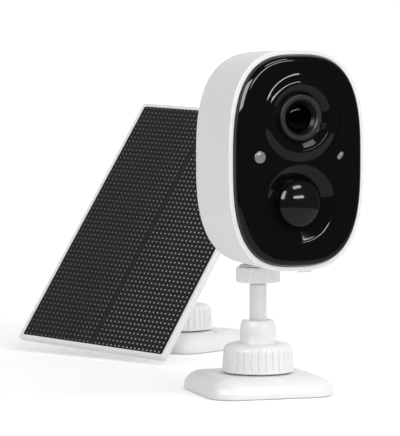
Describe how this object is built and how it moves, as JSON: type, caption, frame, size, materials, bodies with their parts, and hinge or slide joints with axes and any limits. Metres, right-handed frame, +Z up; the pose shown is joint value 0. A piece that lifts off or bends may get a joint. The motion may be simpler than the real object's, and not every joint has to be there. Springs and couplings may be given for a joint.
{
  "type": "solar security camera",
  "caption": "Battery security camera with a rounded white body and glossy black face on a ball mount, with a small solar panel on its own ball mount.",
  "frame": {"origin": "centre of the underside of the camera's foot", "axes": "+Z up, the camera's lens looks along -Y, +X to the right when looking along +Y"},
  "size_m": [0.1403, 0.3148, 0.1734],
  "materials": {
    "white_plastic": "smooth matte white moulded plastic",
    "mount_plastic": "satin white moulded plastic",
    "post_plastic": "satin light grey",
    "black_gloss": "glossy black",
    "barrel_black": "fine matte black",
    "lens_glass": "coated glass",
    "trim_metal": "dark satin metal",
    "dome_plastic": "smooth dark lens plastic",
    "lamp_clear": "bright reflector under clear resin",
    "rubber": "matte rubber",
    "soft_white": "matte white silicone",
    "steel": "plated steel",
    "brass": "turned brass",
    "board_green": "solder mask",
    "chip_black": "moulded resin",
    "chassis_grey": "matte",
    "cell_wrap": "shrink wrap",
    "antenna_film": "flexible film",
    "solar_black": "dark cells with a fine dotted grid",
    "front_film": "clear textured film"
  },
  "bodies": {
    "camera_foot": {"camera_foot": "mount_plastic", "camera_foot_pad": "rubber", "camera_ball_seat": "chassis_grey"},
    "camera_clamp_ring": {"camera_slip_ring": "steel"},
    "camera_collar": {"camera_clamp_collar": "mount_plastic"},
    "camera_cup": {"camera_ball_cup": "mount_plastic"},
    "camera_stem": {"camera_ball_stem": "post_plastic"},
    "camera_head": {"housing_shell": "white_plastic", "rear_cover": "white_plastic", "seam_gasket": "rubber", "thread_insert": "brass", "front_cover": "black_gloss", "lens_ring": "black_gloss", "cover_gasket": "rubber", "lens_barrel": "barrel_black", "lens_trim_ring": "trim_metal", "lens_glass": "lens_glass", "image_sensor": "chip_black", "pir_dome": "dome_plastic", "pir_sensor": "steel", "light_sensor": "lamp_clear", "status_light": "lamp_clear", "sensor_board": "board_green", "infrared_leds": "lamp_clear", "microphone": "steel", "chassis": "chassis_grey", "chassis_screws": "steel", "main_board": "board_green", "battery_cells": "cell_wrap", "battery_tray": "chassis_grey", "speaker": "chip_black", "antenna": "antenna_film", "usb_socket": "steel", "card_socket": "steel"},
    "camera_nut_washer": {"camera_washer": "rubber"},
    "camera_nut": {"camera_lock_nut": "mount_plastic"},
    "reset_key": {"reset_button": "rubber"},
    "port_flap": {"port_cover": "soft_white"},
    "panel_foot": {"panel_foot": "mount_plastic", "panel_foot_pad": "rubber", "panel_ball_seat": "chassis_grey"},
    "panel_clamp_ring": {"panel_slip_ring": "steel"},
    "panel_collar": {"panel_clamp_collar": "mount_plastic"},
    "panel_cup": {"panel_ball_cup": "mount_plastic"},
    "panel_stem": {"panel_ball_stem": "post_plastic"},
    "solar_panel": {"panel_frame": "white_plastic", "panel_back_plate": "white_plastic", "solar_cells": "solar_black", "panel_front_sheet": "front_film", "junction_box": "white_plastic", "charge_board": "board_green", "cable_gland": "rubber", "panel_thread_insert": "brass", "panel_screws": "steel"},
    "panel_nut_washer": {"panel_washer": "rubber"},
    "panel_nut": {"panel_lock_nut": "mount_plastic"}
  },
  "joints": [
    {"name": "camera_ring_lift", "type": "slide", "parent": "camera_foot", "child": "camera_clamp_ring", "axis": [0, 0, 1], "range_m": [0, 0.0016]},
    {"name": "camera_collar_turn", "type": "hinge", "parent": "camera_clamp_ring", "child": "camera_collar", "pos_m": [0, 0, 0], "axis": [0, 0, 1], "range_deg": [0, 270]},
    {"name": "camera_pan", "type": "hinge", "parent": "camera_foot", "child": "camera_cup", "pos_m": [0, 0, 0.0305], "axis": [0, 0, 1], "range_deg": [-180, 180]},
    {"name": "camera_tilt", "type": "hinge", "parent": "camera_cup", "child": "camera_stem", "pos_m": [0, 0, 0.0305], "axis": [-1, 0, 0], "range_deg": [-5, 70]},
    {"name": "camera_spin", "type": "hinge", "parent": "camera_stem", "child": "camera_head", "pos_m": [0, 0, 0.0305], "axis": [0, 0, 1], "range_deg": [-180, 180]},
    {"name": "camera_washer_slide", "type": "slide", "parent": "camera_stem", "child": "camera_nut_washer", "axis": [0, 0, -1], "range_m": [0, 0.0026]},
    {"name": "camera_nut_turn", "type": "hinge", "parent": "camera_nut_washer", "child": "camera_nut", "pos_m": [0, 0, 0.0305], "axis": [0, 0, -1], "range_deg": [0, 720]},
    {"name": "reset_press", "type": "slide", "parent": "camera_head", "child": "reset_key", "axis": [0, 0, 1], "range_m": [0, 0.0005], "stiffness_N_per_m": 300},
    {"name": "port_open", "type": "hinge", "parent": "camera_head", "child": "port_flap", "pos_m": [0.0045, -0.0265, 0.0659], "axis": [1, 0, 0], "range_deg": [0, 95]},
    {"name": "panel_place", "type": "slide", "parent": "camera_foot", "child": "panel_foot", "axis": [0, 1, 0], "range_m": [0, 0.1]},
    {"name": "panel_ring_lift", "type": "slide", "parent": "panel_foot", "child": "panel_clamp_ring", "axis": [0, 0, 1], "range_m": [0, 0.0016]},
    {"name": "panel_collar_turn", "type": "hinge", "parent": "panel_clamp_ring", "child": "panel_collar", "pos_m": [0.051, 0.205, 0], "axis": [0, 0, 1], "range_deg": [0, 270]},
    {"name": "panel_pan", "type": "hinge", "parent": "panel_foot", "child": "panel_cup", "pos_m": [0.051, 0.205, 0.0305], "axis": [0, 0, 1], "range_deg": [-180, 180]},
    {"name": "panel_tilt", "type": "hinge", "parent": "panel_cup", "child": "panel_stem", "pos_m": [0.051, 0.205, 0.0305], "axis": [0.4226, -0.9063, 0], "range_deg": [-55, 27]},
    {"name": "panel_spin", "type": "hinge", "parent": "panel_stem", "child": "solar_panel", "pos_m": [0.051, 0.205, 0.0305], "axis": [-0.719, -0.3353, 0.6088], "range_deg": [-180, 180]},
    {"name": "panel_washer_slide", "type": "slide", "parent": "panel_stem", "child": "panel_nut_washer", "axis": [0.719, 0.3353, -0.6088], "range_m": [0, 0.0026]},
    {"name": "panel_nut_turn", "type": "hinge", "parent": "panel_nut_washer", "child": "panel_nut", "pos_m": [0.051, 0.205, 0.0305], "axis": [0.719, 0.3353, -0.6088], "range_deg": [0, 720]}
  ],
  "couplings": [
    {"joint": "camera_ring_lift", "follows": "camera_collar_turn", "m_per_rad": 0.00031831},
    {"joint": "camera_washer_slide", "follows": "camera_nut_turn", "m_per_rad": 0.00020213},
    {"joint": "panel_ring_lift", "follows": "panel_collar_turn", "m_per_rad": 0.00031831},
    {"joint": "panel_washer_slide", "follows": "panel_nut_turn", "m_per_rad": 0.00020213}
  ]
}
